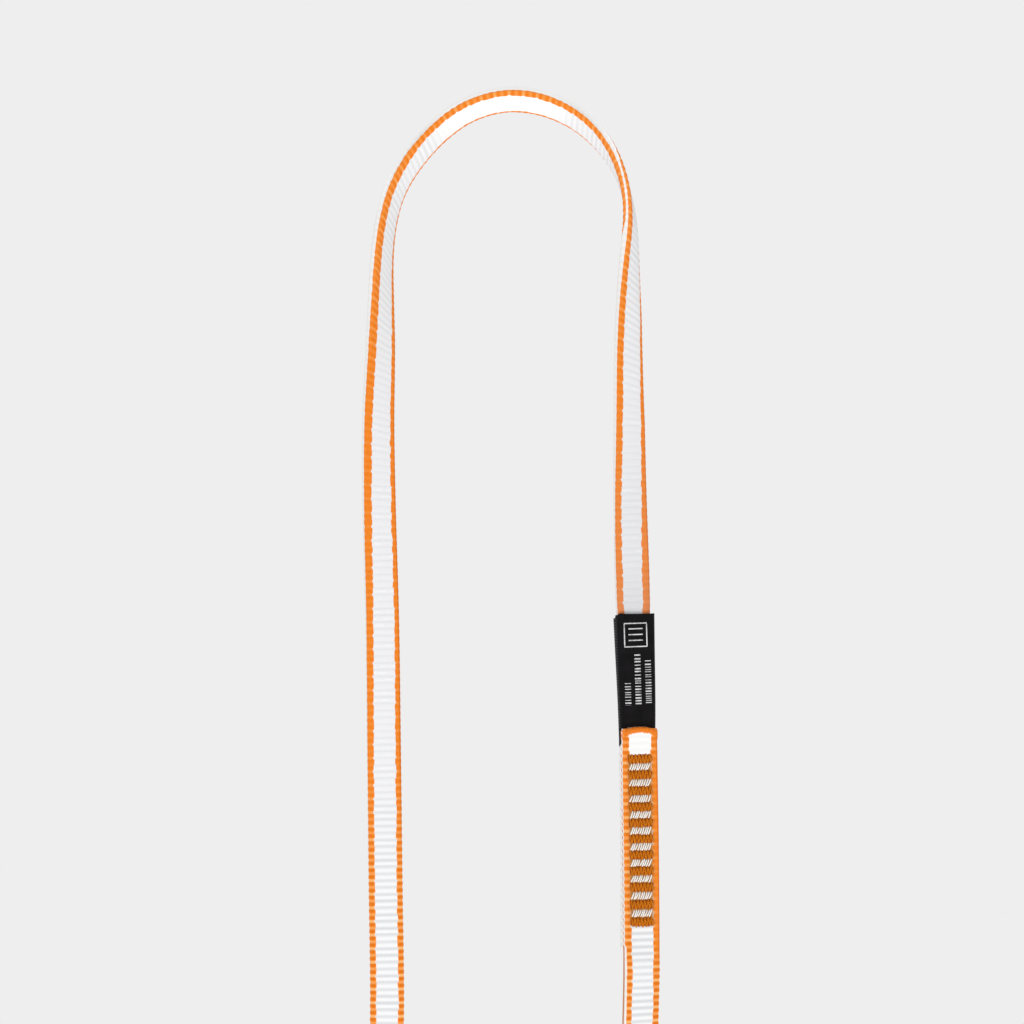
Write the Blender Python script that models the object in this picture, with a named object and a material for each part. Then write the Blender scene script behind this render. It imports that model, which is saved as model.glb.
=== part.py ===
"""A sewn webbing sling that hangs from its top bight: one strip of tape closed by a bar-tacked splice,
with whipped cut ends and a sleeve that slides on the tape.

Metres, +Z up. The loop hangs in the XZ plane. The origin is where the loop bears on what holds it up,
on the inner face of the tape at the top bight.
"""

import math

import bmesh
import bpy
import numpy as np

MM = 0.001

# The tape, and how much thinner its two layers are where they are sewn together.
TAPE_WIDTH = 10.0 * MM
TAPE_THICK = 2.6 * MM
SEWN_THICK = 2.2 * MM
EDGE_ROUND = 0.9 * MM
EDGE_FLAT_SHARE = 0.4
GAP = 0.3 * MM
FRONT_LIFT = SEWN_THICK + GAP
FRONT_SHIFT = -0.2 * MM
BACK_FACE = -SEWN_THICK / 2
FRONT_FACE = FRONT_LIFT + SEWN_THICK / 2

# The middle of the tape round the loop, clockwise from the left leg: x and z in millimetres from the
# top, and the roll in degrees. At roll 0 the tape lies flat in the loop's plane with its front edge
# outwards, at 90 it stands edge on to it, and at 180 it lies flat with its front edge inwards.
ROUTE = [
    (-37.4, -264.5, 3),
    (-37.8, -235.0, 4),
    (-38.3, -194.0, 9),
    (-38.9, -150.0, 16),
    (-39.8, -117.0, 23),
    (-40.0, -94.0, 31),
    (-39.4, -73.5, 42),
    (-39.1, -58.5, 52),
    (-38.5, -43.7, 59),
    (-37.3, -35.0, 60),
    (-34.8, -26.4, 58),
    (-30.1, -18.2, 53),
    (-23.7, -10.6, 49),
    (-13.6, -3.0, 48),
    (0.0, 0.3, 48),
    (12.3, -2.3, 52),
    (18.8, -5.8, 57),
    (24.6, -11.0, 64),
    (29.6, -18.2, 77),
    (32.9, -26.3, 91),
    (34.3, -34.0, 103),
    (34.5, -41.5, 115),
    (34.3, -49.0, 124),
    (34.1, -58.7, 134),
    (33.8, -73.4, 141),
    (33.8, -86.3, 144),
    (33.9, -99.0, 149),
    (34.0, -111.6, 156),
    (34.2, -121.5, 162),
    (34.75, -141.0, 164),
    (35.3, -161.0, 164),
    (35.8, -179.0, 164),
    (35.9, -191.0, 164),
    (36.3, -220.4, 163),
    (36.2, -249.9, 156),
    (36.25, -272.0, 153),
    (37.5, -300.0, 158),
    (39.6, -340.0, 168),
    (41.2, -380.0, 170),
    (42.6, -412.0, 167),
    (43.7, -440.0, 152),
    (44.5, -462.0, 137),
    (44.8, -480.0, 120),
    (43.8, -494.0, 100),
    (40.2, -505.5, 82),
    (33.6, -515.5, 69),
    (24.5, -523.3, 58),
    (12.5, -528.3, 50),
    (0.0, -530.0, 48),
    (-12.5, -528.3, 49),
    (-24.5, -523.3, 53),
    (-33.6, -515.5, 57),
    (-40.2, -505.5, 60),
    (-44.0, -493.0, 61),
    (-45.0, -478.0, 56),
    (-44.6, -458.0, 44),
    (-43.7, -436.0, 31),
    (-42.6, -410.0, 21),
    (-41.0, -376.0, 14),
    (-39.4, -336.0, 8),
    (-38.2, -300.0, 4),
]
BEARING_ROLL = math.radians(48)
STEP_MM = 1.0
SMOOTH_MM = 3.0
STATION_MM = 6.0
BEARING_HALF_MM = 3.0

# Heights on the legs, in millimetres below the top.
FOLD_MM = 330.0
FOLD_HALF_GAP_MM = 2.1
FRONT_END_MM = 184.7
BACK_END_MM = 249.6
TAIL_BLEND_MM = (252.0, 300.0)
SEWN_MM = (186.0, 250.0)
SEWN_EASE_MM = 8.0

# The bar tacks: threads that run along the tape, in a block across the middle of it.
TACK_COUNT = 11
TACK_FIRST_MM = 193.5
TACK_PITCH_MM = 4.70
TACKS_EVEN = 8
TACK_LAST_PITCH_MM = 5.17
TACK_MIDDLE = FRONT_SHIFT + 0.25 * MM
TACK_WIDE = 7.0 * MM
TACK_TALL = 3.0 * MM
TACK_PROUD = 0.5 * MM
TACK_LEG_WIDE = 0.8 * MM
TACK_LEGS_APART = 4.4 * MM

# The whipping over each cut end.
WHIPPING_TALL = 1.8 * MM
WHIPPING_THICK = 0.4 * MM

# The sleeve: one strip folded round the tape, its two ends sewn together as a flange at one edge.
SLEEVE_TOP_MM = 150.9
SLEEVE_BOTTOM_MM = 183.7
SLEEVE_BACK_BOTTOM_MM = 189.7
SLEEVE_WALL = 0.45 * MM
FLANGE_END = 6.6 * MM
FLANGE_ROOT = 5.75 * MM
SLEEVE_FACE_HALF = 4.7 * MM
SLEEVE_BEND = 0.9 * MM
SEAM_STITCHES = 8
SEAM_THREAD = 0.2 * MM
SEAM_CLEAR = 0.1 * MM
SEAM_INSET = 0.15 * MM


def clear_scene():
    for obj in list(bpy.data.objects):
        bpy.data.objects.remove(obj, do_unlink=True)


def material(name, colour, roughness):
    made = bpy.data.materials.new(name)
    made.use_nodes = True
    shader = made.node_tree.nodes["Principled BSDF"]
    shader.inputs["Base Color"].default_value = (*colour, 1)
    shader.inputs["Roughness"].default_value = roughness
    shader.inputs["Metallic"].default_value = 0
    return made


def new_object(name, mesh_data, finish):
    """A bmesh becomes a smooth-shaded object with sharp edges left sharp."""
    mesh = bpy.data.meshes.new(name)
    bmesh.ops.recalc_face_normals(mesh_data, faces=mesh_data.faces)
    mesh_data.to_mesh(mesh)
    mesh_data.free()
    mesh.materials.append(finish)
    mesh.shade_smooth()
    mesh.set_sharp_from_angle(angle=math.radians(40))
    obj = bpy.data.objects.new(name, mesh)
    bpy.context.scene.collection.objects.link(obj)
    return obj


def loop_curve():
    """The route as a smooth closed curve, a point each millimetre: an array of x, z and roll."""
    points = np.array(ROUTE, float)
    ahead = np.roll(points, -1, axis=0)
    chord = np.hypot(*(ahead - points)[:, :2].T)
    behind_chord = np.roll(chord, 1)
    slope_ahead = (ahead - points) / chord[:, None]
    slope_behind = np.roll(slope_ahead, 1, axis=0)
    share = (behind_chord / (behind_chord + chord))[:, None]
    tangent = slope_ahead * share + slope_behind * (1 - share)
    made = []
    for i, start in enumerate(points):
        steps = max(2, round(chord[i] / STEP_MM))
        t = (np.arange(steps) / steps)[:, None]
        end_tangent = tangent[(i + 1) % len(points)]
        made.append(
            (2 * t**3 - 3 * t**2 + 1) * start
            + (t**3 - 2 * t**2 + t) * chord[i] * tangent[i]
            + (3 * t**2 - 2 * t**3) * ahead[i]
            + (t**3 - t**2) * chord[i] * end_tangent
        )
    curve = smoothed(np.concatenate(made))
    curve[:, :2] -= curve[np.argmax(curve[:, 1]), :2]
    return curve


def smoothed(curve):
    """The closed curve averaged with its neighbours under a bell, which rounds off any kink."""
    reach = round(3 * SMOOTH_MM / STEP_MM)
    total = np.zeros_like(curve)
    weight = 0
    for shift in range(-reach, reach + 1):
        bell = math.exp(-0.5 * (shift * STEP_MM / SMOOTH_MM) ** 2)
        total += bell * np.roll(curve, shift, axis=0)
        weight += bell
    return total / weight


CURVE = loop_curve()
TOP = int(np.argmax(CURVE[:, 1]))
BOTTOM = int(np.argmin(CURVE[:, 1]))
TO_ORIGIN = np.array(
    [0, math.cos(BEARING_ROLL) * TAPE_THICK / 2, math.sin(BEARING_ROLL) * TAPE_THICK / 2]
)


def on_leg(side, depth_mm):
    """The place on the curve, as a fractional index, where a leg is this far below the top."""
    if side == "left":
        index = np.arange(BOTTOM, TOP + len(CURVE))
    else:
        index = np.arange(BOTTOM, TOP, -1)
    heights = CURVE[index % len(CURVE), 1]
    rising = np.maximum.accumulate(heights)
    return float(np.interp(-depth_mm, rising, index))


def frame_at(index):
    """(middle, along, across, out) of the tape: unit vectors, out pointing away from the loop's inside.

    Across points to the front edge. Out is the normal of the face that is outside at the top."""
    count = len(CURVE)
    low = math.floor(index)
    part = index - low
    x, z, roll = CURVE[low % count] * (1 - part) + CURVE[(low + 1) % count] * part
    before = CURVE[(low - 1) % count] * (1 - part) + CURVE[low % count] * part
    after = CURVE[(low + 1) % count] * (1 - part) + CURVE[(low + 2) % count] * part
    along = np.array([after[0] - before[0], 0, after[1] - before[1]])
    along /= np.linalg.norm(along)
    outward = np.array([-along[2], 0, along[0]])
    angle = math.radians(roll)
    across = math.cos(angle) * outward + math.sin(angle) * np.array([0, -1, 0])
    middle = np.array([x * MM, 0, z * MM]) + TO_ORIGIN
    return middle, along, across, np.cross(across, along)


def depth_of(index):
    low = math.floor(index) % len(CURVE)
    return -CURVE[low, 1]


def eased(value, start, end):
    """0 before start, 1 after end, and a smooth rise between them."""
    t = min(max((value - start) / (end - start), 0), 1)
    return t * t * (3 - 2 * t)


def sewn_share(index):
    """How far the tape is squeezed at this place: 1 in the splice, 0 away from it."""
    if not TOP < index % len(CURVE) < BOTTOM:
        return 0
    start, end = SEWN_MM
    depth = depth_of(index)
    return eased(depth, start - SEWN_EASE_MM, start) * (1 - eased(depth, end, end + SEWN_EASE_MM))


def tape_section(thick):
    """Points round the tape's section, as (across, out), with rounded edges."""
    half_w = TAPE_WIDTH / 2
    half_t = thick / 2
    inner_w = half_w - EDGE_ROUND
    inner_t = half_t * EDGE_FLAT_SHARE
    return [
        (inner_w, half_t),
        (-inner_w, half_t),
        (-half_w, inner_t),
        (-half_w, -inner_t),
        (-inner_w, -half_t),
        (inner_w, -half_t),
        (half_w, -inner_t),
        (half_w, inner_t),
    ]


def stations(start, end, marks=()):
    """Places from start to end, about evenly spaced, that pass through each mark."""
    stops = [start, *marks, end]
    found = [start]
    for a, b in zip(stops, stops[1:]):
        steps = max(1, round(abs(b - a) * STEP_MM / STATION_MM))
        found += [a + (b - a) * k / steps for k in range(1, steps + 1)]
    return found


def ring_at(index, stacked):
    """The tape's section here. Stacked is 1 where it lies on the back layer and 0 in the loop's own plane."""
    middle, along, across, out = frame_at(index)
    thick = TAPE_THICK + (SEWN_THICK - TAPE_THICK) * sewn_share(index)
    near_top = abs(index % len(CURVE) - TOP) < 1.01 * BEARING_HALF_MM / STEP_MM
    near_bottom = abs(index % len(CURVE) - BOTTOM) < 1.01 * BEARING_HALF_MM / STEP_MM
    if near_top or near_bottom:
        middle, along, across, out = bearing_frame(index, TOP if near_top else BOTTOM)
    middle = middle + (out * FRONT_LIFT + across * FRONT_SHIFT) * stacked
    return [middle + across * a + out * b for a, b in tape_section(thick)]


def bearing_frame(index, centre):
    """The tape is flat and untwisted for a short stretch where it bears on what goes through it."""
    middle, along, across, out = frame_at(centre)
    along = np.array([math.copysign(1, along[0]), 0, 0])
    outward = np.array([0, 0, along[0]])
    across = math.cos(BEARING_ROLL) * outward + math.sin(BEARING_ROLL) * np.array([0, -1, 0])
    return middle + along * (index - centre) * STEP_MM * MM, along, across, np.cross(across, along)


def loft(rings, made=None):
    """A closed tube of quads through the rings, with both ends capped, added to a bmesh."""
    made = made or bmesh.new()
    rows = [[made.verts.new(p) for p in ring] for ring in rings]
    for row, after in zip(rows, rows[1:]):
        for k in range(len(row)):
            j = (k + 1) % len(row)
            made.faces.new((row[k], row[j], after[j], after[k]))
    made.faces.new(rows[0])
    made.faces.new(rows[-1])
    return made


def tape(name, start, end, finish, marks=(), stacked_at=lambda index: 0):
    rings = [ring_at(index, stacked_at(index)) for index in stations(start, end, marks)]
    return new_object(name, loft(rings), finish)


def front_layer(index):
    """The front layer lies on the back layer's outer face, and comes back to the loop's plane below it."""
    return 1 - eased(depth_of(index), *TAIL_BLEND_MM)


def prism_at(index, outline, along_range, made=None):
    """An outline of (across, out) points, run along the tape from a place on the leg, added to a bmesh."""
    middle, along, across, out = frame_at(index)
    rings = [[middle + across * a + out * b + along * c for a, b in outline] for c in along_range]
    return loft(rings, made)


def box_at(index, across_range, out_range, along_range, made=None):
    (a, b), (c, d) = across_range, out_range
    return prism_at(index, [(a, c), (b, c), (b, d), (a, d)], along_range, made)


def boolean(obj, other, operation):
    step = obj.modifiers.new(operation.title(), "BOOLEAN")
    step.operation = operation
    step.solver = "EXACT"
    step.object = other
    other.hide_render = True
    other.display_type = "WIRE"


def tack_places():
    """Where the tacks are on the curve: evenly spaced, but for the last ones, which spread out."""
    even = [TACK_FIRST_MM + min(k, TACKS_EVEN) * TACK_PITCH_MM for k in range(TACK_COUNT)]
    spread = [max(k - TACKS_EVEN, 0) * TACK_LAST_PITCH_MM for k in range(TACK_COUNT)]
    return [on_leg("right", a + b) for a, b in zip(even, spread)]


def tack_outline(face, side):
    """One thread of a bar tack in section: its pad on a face of the splice, and the two rows of legs that
    go down to meet the other thread's. Side is 1 on the front face and -1 on the back face."""
    half = TACK_WIDE / 2
    outer = face + side * TACK_PROUD
    inner = face + side * GAP / 2
    meet = (BACK_FACE + FRONT_FACE) / 2 + side * GAP / 2
    near = (TACK_LEGS_APART - TACK_LEG_WIDE) / 2
    far = (TACK_LEGS_APART + TACK_LEG_WIDE) / 2
    right = [(half, outer), (half, inner), (far, inner), (far, meet), (near, meet), (near, inner)]
    both = right + [(-a, b) for a, b in reversed(right)]
    return [(a + TACK_MIDDLE, b) for a, b in both]


def needle_holes(finish):
    """The slots that the tacks' legs pass through, as one cutter for both layers."""
    made = bmesh.new()
    half_wide = TACK_LEG_WIDE / 2 + GAP
    half_tall = TACK_TALL / 2 + GAP
    clear = 1 * MM
    for index in tack_places():
        for centre in (TACK_MIDDLE - TACK_LEGS_APART / 2, TACK_MIDDLE + TACK_LEGS_APART / 2):
            box_at(
                index,
                (centre - half_wide, centre + half_wide),
                (BACK_FACE - clear, FRONT_FACE + clear),
                (-half_tall, half_tall),
                made,
            )
    return new_object("needle_holes", made, finish)


def whipping(name, index, stacked, finish):
    """A cap of thread over a cut end: over its end, both its edges and the face that looks away from the
    other layer. Stacked is 1 on the front layer, which goes on down the leg, and 0 on the back layer."""
    below = side = 1 if stacked else -1
    lift = FRONT_LIFT * stacked
    shift = FRONT_SHIFT * stacked
    half_w = TAPE_WIDTH / 2 + GAP
    face = SEWN_THICK / 2 + GAP
    underside = SEWN_THICK / 2 + GAP / 3
    cap = box_at(
        index,
        (shift - half_w - WHIPPING_THICK, shift + half_w + WHIPPING_THICK),
        (lift - side * underside, lift + side * (face + WHIPPING_THICK)),
        (-below * (GAP + WHIPPING_THICK), below * WHIPPING_TALL),
    )
    pocket = box_at(
        index,
        (shift - half_w, shift + half_w),
        (lift - side * 2 * SEWN_THICK, lift + side * face),
        (-below * GAP, below * 2 * WHIPPING_TALL),
    )
    obj = new_object(name, cap, finish)
    boolean(obj, new_object(f"{name}_pocket", pocket, finish), "DIFFERENCE")
    return obj


def sleeve_path():
    """The middle of the sleeve's wall, as (across, out), from the flange's front end round to its back end.

    The flange is at the tape's front edge."""
    ply = (GAP + SLEEVE_WALL) / 2
    face = TAPE_THICK / 2 + GAP + SLEEVE_WALL / 2
    edge = TAPE_WIDTH / 2 + GAP + SLEEVE_WALL / 2
    bend = SLEEVE_BEND
    front = [(FLANGE_END, ply), (FLANGE_ROOT, ply), (SLEEVE_FACE_HALF, face)]
    turn = [
        (-edge + bend - bend * math.sin(a), face - bend + bend * math.cos(a))
        for a in np.linspace(0, math.pi / 2, 4)
    ]
    half = front + turn
    return half + [(a, -b) for a, b in reversed(half)]


def thickened(path, thick):
    """The outline of a strip of this thickness that follows an open path."""
    points = np.array(path)
    step = np.diff(points, axis=0)
    step /= np.linalg.norm(step, axis=1)[:, None]
    side = np.stack([-step[:, 1], step[:, 0]], axis=1)
    before = np.concatenate([side[:1], side])
    after = np.concatenate([side, side[-1:]])
    mitre = before + after
    mitre /= (1 + (before * after).sum(axis=1))[:, None]
    left = points + mitre * thick / 2
    right = points - mitre * thick / 2
    return [tuple(p) for p in left] + [tuple(p) for p in reversed(right)]


def sleeve(finish):
    """The folded strip, with its front ply cut shorter than its back ply."""
    top = on_leg("right", SLEEVE_TOP_MM)
    back_end = on_leg("right", SLEEVE_BACK_BOTTOM_MM)
    front_end = on_leg("right", SLEEVE_BOTTOM_MM)
    length = np.linalg.norm(frame_at(back_end)[0] - frame_at(top)[0])
    strip = prism_at((top + back_end) / 2, thickened(sleeve_path(), SLEEVE_WALL), (-length / 2, length / 2))
    obj = new_object("sleeve_body", strip, finish)
    clear = 8 * MM
    below_front = box_at(front_end, (-clear, clear), (GAP / 4, clear), (0, clear))
    boolean(obj, new_object("sleeve_front_edge", below_front, finish), "DIFFERENCE")
    boolean(obj, seam_holes(finish), "DIFFERENCE")
    return obj


def seam_places():
    """How far along the sleeve each stitch of its seam goes through, from its middle."""
    length = (SLEEVE_BOTTOM_MM - SLEEVE_TOP_MM) * MM
    pitch = length / SEAM_STITCHES
    return [(k - (SEAM_STITCHES - 1) / 2) * pitch for k in range(SEAM_STITCHES)]


def seam_middle():
    return on_leg("right", (SLEEVE_TOP_MM + SLEEVE_BOTTOM_MM) / 2)


def seam_line():
    return (FLANGE_END + FLANGE_ROOT) / 2 - SEAM_INSET


def seam_holes(finish):
    made = bmesh.new()
    half = SEAM_THREAD + SEAM_CLEAR
    through = GAP + 2 * SLEEVE_WALL
    line = seam_line()
    for place in seam_places():
        box_at(
            seam_middle(),
            (line - half, line + half),
            (-through, through),
            (place - half, place + half),
            made,
        )
    return new_object("seam_holes", made, finish)


def seam_thread(finish):
    """An overcast stitch: through both plies, round the flange's edge, and on to the next hole."""
    middle, along, across, out = frame_at(seam_middle())
    proud = GAP / 2 + SLEEVE_WALL + SEAM_THREAD + SEAM_CLEAR
    inner = seam_line()
    outer = FLANGE_END + SEAM_THREAD + SEAM_CLEAR
    places = seam_places()
    pitch = places[1] - places[0]
    path = []
    for place in places:
        path += [
            (inner, proud, place),
            (inner, -proud, place),
            (outer, -proud, place + pitch * 0.4),
            (outer, proud, place + pitch * 0.6),
        ]
    path = path[:-2]
    curve = bpy.data.curves.new("sleeve_seam_thread", "CURVE")
    curve.dimensions = "3D"
    curve.bevel_depth = SEAM_THREAD
    curve.bevel_resolution = 1
    curve.use_fill_caps = True
    curve.materials.append(finish)
    line = curve.splines.new("POLY")
    line.points.add(len(path) - 1)
    for point, (a, b, c) in zip(line.points, path):
        point.co = (*(middle + across * a + out * b + along * c), 1)
    obj = bpy.data.objects.new("sleeve_seam_thread", curve)
    bpy.context.scene.collection.objects.link(obj)
    return obj


def webbing(finish):
    """The strip of tape, in the stretches above and below the fold line, with the front layer on its own."""
    count = len(CURVE)
    left_fold = on_leg("left", FOLD_MM - FOLD_HALF_GAP_MM) - count
    left_low = on_leg("left", FOLD_MM + FOLD_HALF_GAP_MM)
    right_fold = on_leg("right", FOLD_MM - FOLD_HALF_GAP_MM)
    right_low = on_leg("right", FOLD_MM + FOLD_HALF_GAP_MM)
    half = BEARING_HALF_MM / STEP_MM
    back_end = on_leg("right", BACK_END_MM)
    front_end = on_leg("right", FRONT_END_MM)
    top = tape("webbing_top", left_fold, back_end, finish, marks=(TOP - half, TOP + half))
    tail = tape("webbing_front_tail", front_end, right_fold, finish, stacked_at=front_layer)
    tape("webbing_bottom", right_low, left_low, finish, marks=(BOTTOM - half, BOTTOM + half))
    holes = needle_holes(finish)
    for layer in (top, tail):
        boolean(layer, holes, "DIFFERENCE")


def stitching(finish):
    reach = (-TACK_TALL / 2, TACK_TALL / 2)
    threads = (("needle", FRONT_FACE, 1), ("bobbin", BACK_FACE, -1))
    for number, index in enumerate(tack_places(), 1):
        for thread, face, side in threads:
            tack = prism_at(index, tack_outline(face, side), reach)
            new_object(f"bar_tack_{number:02d}_{thread}", tack, finish)


def main():
    clear_scene()
    white = material("white_tape", (0.88, 0.88, 0.87), 0.6)
    orange = material("orange_thread", (0.83, 0.33, 0.05), 0.6)
    black = material("black_fabric", (0.02, 0.02, 0.02), 0.7)
    grey = material("grey_thread", (0.09, 0.09, 0.09), 0.7)
    webbing(white)
    stitching(orange)
    whipping("end_whipping_front", on_leg("right", FRONT_END_MM), 1, orange)
    whipping("end_whipping_back", on_leg("right", BACK_END_MM), 0, orange)
    sleeve(black)
    seam_thread(grey)


main()
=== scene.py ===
"""The looks of a hanging sewn webbing sling: ribbed tape with striped edges, a bar-tacked splice with
thread that can be seen stitch by stitch, whipped cut ends and a black printed sleeve."""

import math

import bpy
import numpy as np
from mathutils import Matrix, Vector


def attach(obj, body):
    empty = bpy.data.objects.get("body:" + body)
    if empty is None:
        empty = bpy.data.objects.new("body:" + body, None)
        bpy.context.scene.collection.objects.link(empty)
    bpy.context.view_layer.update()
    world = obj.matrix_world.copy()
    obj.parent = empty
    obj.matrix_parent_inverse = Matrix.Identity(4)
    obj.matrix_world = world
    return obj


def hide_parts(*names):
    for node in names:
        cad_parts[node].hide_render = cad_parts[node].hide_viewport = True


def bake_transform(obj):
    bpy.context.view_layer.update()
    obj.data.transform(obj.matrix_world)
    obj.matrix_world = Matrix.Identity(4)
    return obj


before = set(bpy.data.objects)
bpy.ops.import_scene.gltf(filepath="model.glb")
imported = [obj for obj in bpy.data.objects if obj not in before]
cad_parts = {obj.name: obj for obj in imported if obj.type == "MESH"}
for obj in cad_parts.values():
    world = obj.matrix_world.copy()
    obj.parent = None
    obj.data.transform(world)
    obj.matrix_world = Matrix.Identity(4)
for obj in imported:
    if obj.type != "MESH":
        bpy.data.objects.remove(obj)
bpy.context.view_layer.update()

MM = 0.001

# The strip of tape: the same driving sizes and route as the CAD part.
TAPE_WIDTH = 10.0
TAPE_THICK = 2.6
SEWN_THICK = 2.2
SEWN_SWELL = 0.12
LAYER_GAP = 0.3
FRONT_LIFT = SEWN_THICK + LAYER_GAP
FRONT_SHIFT = -0.2
ROUTE = [
    (-37.4, -264.5, 3),
    (-37.8, -235.0, 4),
    (-38.3, -194.0, 9),
    (-38.9, -150.0, 16),
    (-39.8, -117.0, 23),
    (-40.0, -94.0, 31),
    (-39.4, -73.5, 42),
    (-39.1, -58.5, 52),
    (-38.5, -43.7, 59),
    (-37.3, -35.0, 60),
    (-34.8, -26.4, 58),
    (-30.1, -18.2, 53),
    (-23.7, -10.6, 49),
    (-13.6, -3.0, 48),
    (0.0, 0.3, 48),
    (12.3, -2.3, 52),
    (18.8, -5.8, 57),
    (24.6, -11.0, 64),
    (29.6, -18.2, 77),
    (32.9, -26.3, 91),
    (34.3, -34.0, 103),
    (34.5, -41.5, 115),
    (34.3, -49.0, 124),
    (34.1, -58.7, 134),
    (33.8, -73.4, 141),
    (33.8, -86.3, 144),
    (33.9, -99.0, 149),
    (34.0, -111.6, 156),
    (34.2, -121.5, 162),
    (34.75, -141.0, 164),
    (35.3, -161.0, 164),
    (35.8, -179.0, 164),
    (35.9, -191.0, 164),
    (36.3, -220.4, 163),
    (36.2, -249.9, 156),
    (36.25, -272.0, 153),
    (37.5, -300.0, 158),
    (39.6, -340.0, 168),
    (41.2, -380.0, 170),
    (42.6, -412.0, 167),
    (43.7, -440.0, 152),
    (44.5, -462.0, 137),
    (44.8, -480.0, 120),
    (43.8, -494.0, 100),
    (40.2, -505.5, 82),
    (33.6, -515.5, 69),
    (24.5, -523.3, 58),
    (12.5, -528.3, 50),
    (0.0, -530.0, 48),
    (-12.5, -528.3, 49),
    (-24.5, -523.3, 53),
    (-33.6, -515.5, 57),
    (-40.2, -505.5, 60),
    (-44.0, -493.0, 61),
    (-45.0, -478.0, 56),
    (-44.6, -458.0, 44),
    (-43.7, -436.0, 31),
    (-42.6, -410.0, 21),
    (-41.0, -376.0, 14),
    (-39.4, -336.0, 8),
    (-38.2, -300.0, 4),
]
BEARING_ROLL = math.radians(48)
STEP = 1.0
SMOOTH = 3.0

# Depths below the top of the loop, in millimetres.
FRONT_END = 184.7
BACK_END = 249.6
TAIL_EASE = (252.0, 300.0)
TAIL_FADE = (290.0, 350.0)
SEWN = (187.5, 248.0)
SEWN_EASE = 8.0
SLEEVE_TOP = 150.9
SLEEVE_FRONT_END = 184.9
SLEEVE_BACK_END = 189.6

# The weave.
RIB = 2.0
RINGS_PER_RIB = 4
EDGE_FLAT = 4.3
STRIPE_FROM = 3.2
SELVEDGE = 0.62
SHOULDER_RIM = 0.33
HIDDEN_RIM = 1.25
TAIL_RIM = (-0.4, 1.15)
TAIL_SHADE = 0.45
SPLICE_RIM = 1.05
# The tape's far edge curls away from its face round the top: this much for each square millimetre, by depth.
CURL_LEFT = [(0, 0.080), (10, 0.078), (40, 0.04), (70, 0.0)]
CURL_RIGHT = [(0, 0.072), (10, 0.062), (24, 0.055), (36, 0.08), (55, 0.08), (66, 0.055), (95, 0.0)]
CURL_FROM = 1.0
# The relief of the ribs: on the white, how much more on the stripes, and the least share of it that shows.
RELIEF = 0.055
STRIPE_RELIEF = 0.045
LEAST_RELIEF = 0.35
BEAD_RELIEF = 1.1
CROWN = 0.10
STITCH_PULL = 0.22
# How far the weave is pressed smooth beside the stitches, the share of painted highlight on the patch above the
# tacks, and the painted shade at a tack's end.
PRESSED = 0.9
PATCH_HIGHLIGHT = 0.85
TACK_END_SHADE = 0.7
# How far the ribs lean along the tape for each step across it, by depth: left leg, then right leg.
LEAN_LEFT = [(0, 0.0), (15, 0.3), (30, 0.5), (50, 0.8), (78, 0.3), (130, 0.0)]
LEAN_RIGHT = [(0, 0.0), (8, -0.4), (30, -0.55), (60, -0.45), (85, -0.2), (100, 0.0)]
# How strongly the ribs stand out, and how strongly their painted light and shade shows, by depth.
BOLD_LEFT = [(0, 0.0), (8, 0.3), (20, 0.5), (60, 0.4), (90, 0.05), (195, 0.15), (225, 0.9), (250, 1.0)]
BOLD_RIGHT = [(0, 0.0), (4, 0.35), (18, 0.6), (45, 0.5), (90, 0.05), (183, 0.05), (187, 0.9), (240, 1.0)]
# Where the right leg lies in shade: a little along it, and more where it goes into the sleeve.
SHADE_RIGHT = [(85, 0.0), (105, 0.05), (118, 0.10), (136, 0.12), (151, 0.25), (158, 0.25), (162, 0.0)]
# How much wider a stripe is than the weave makes it, by depth: the left leg's near one, the right's far one.
MORE_LEFT = [(12, 0.0), (24, 0.4), (60, 0.5), (120, 0.4), (175, 0.1), (200, 0.0)]
MORE_RIGHT = [(105, 0.0), (118, 0.25), (133, 0.6), (150, 0.7), (185, 0.0)]
MORE_TAIL = [(184, 0.35), (243, 0.35), (249, 0.4), (275, 0.35), (300, 0.0)]
# How wide the tape lies, as a share of its woven width, by depth: left leg, then right leg.
WIDE_BACK = [(118, 1.0), (138, 1.03), (148, 1.02), (156, 0.95), (187, 0.95), (193, 1.03), (250, 1.03)]
WIDE_FRONT = [(184, 1.06), (192, 1.08), (225, 1.09), (245, 1.12), (275, 1.13), (300, 1.0)]

# The bar tacks.
TACKS = 11
TACK_FIRST = 193.5
TACK_PITCH = 4.70
TACKS_EVEN = 8
TACK_LAST_PITCH = 5.17
TACK_WIDE = 7.0
TACK_TALL = 3.0
TACK_OFFSET = 0.25
TACK_THREADS = 13
THREAD = 0.23

CAMERA_AWAY = 1.5
SENSOR = 36
PICTURE_TALL = 0.3012
PICTURE_MIDDLE = (-0.0006, -0.1201)
BACKGROUND = (0.855, 0.855, 0.855, 1)


# ---------------------------------------------------------------- the route


def loop_curve():
    """The route as a smooth closed curve, a point each millimetre: an array of x, z and roll."""
    points = np.array(ROUTE, float)
    ahead = np.roll(points, -1, axis=0)
    chord = np.hypot(*(ahead - points)[:, :2].T)
    behind_chord = np.roll(chord, 1)
    slope_ahead = (ahead - points) / chord[:, None]
    slope_behind = np.roll(slope_ahead, 1, axis=0)
    share = (behind_chord / (behind_chord + chord))[:, None]
    tangent = slope_ahead * share + slope_behind * (1 - share)
    made = []
    for i, start in enumerate(points):
        steps = max(2, round(chord[i] / STEP))
        t = (np.arange(steps) / steps)[:, None]
        made.append(
            (2 * t**3 - 3 * t**2 + 1) * start
            + (t**3 - 2 * t**2 + t) * chord[i] * tangent[i]
            + (3 * t**2 - 2 * t**3) * ahead[i]
            + (t**3 - t**2) * chord[i] * tangent[(i + 1) % len(points)]
        )
    curve = smoothed(np.concatenate(made))
    curve[:, :2] -= curve[np.argmax(curve[:, 1]), :2]
    return curve


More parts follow.
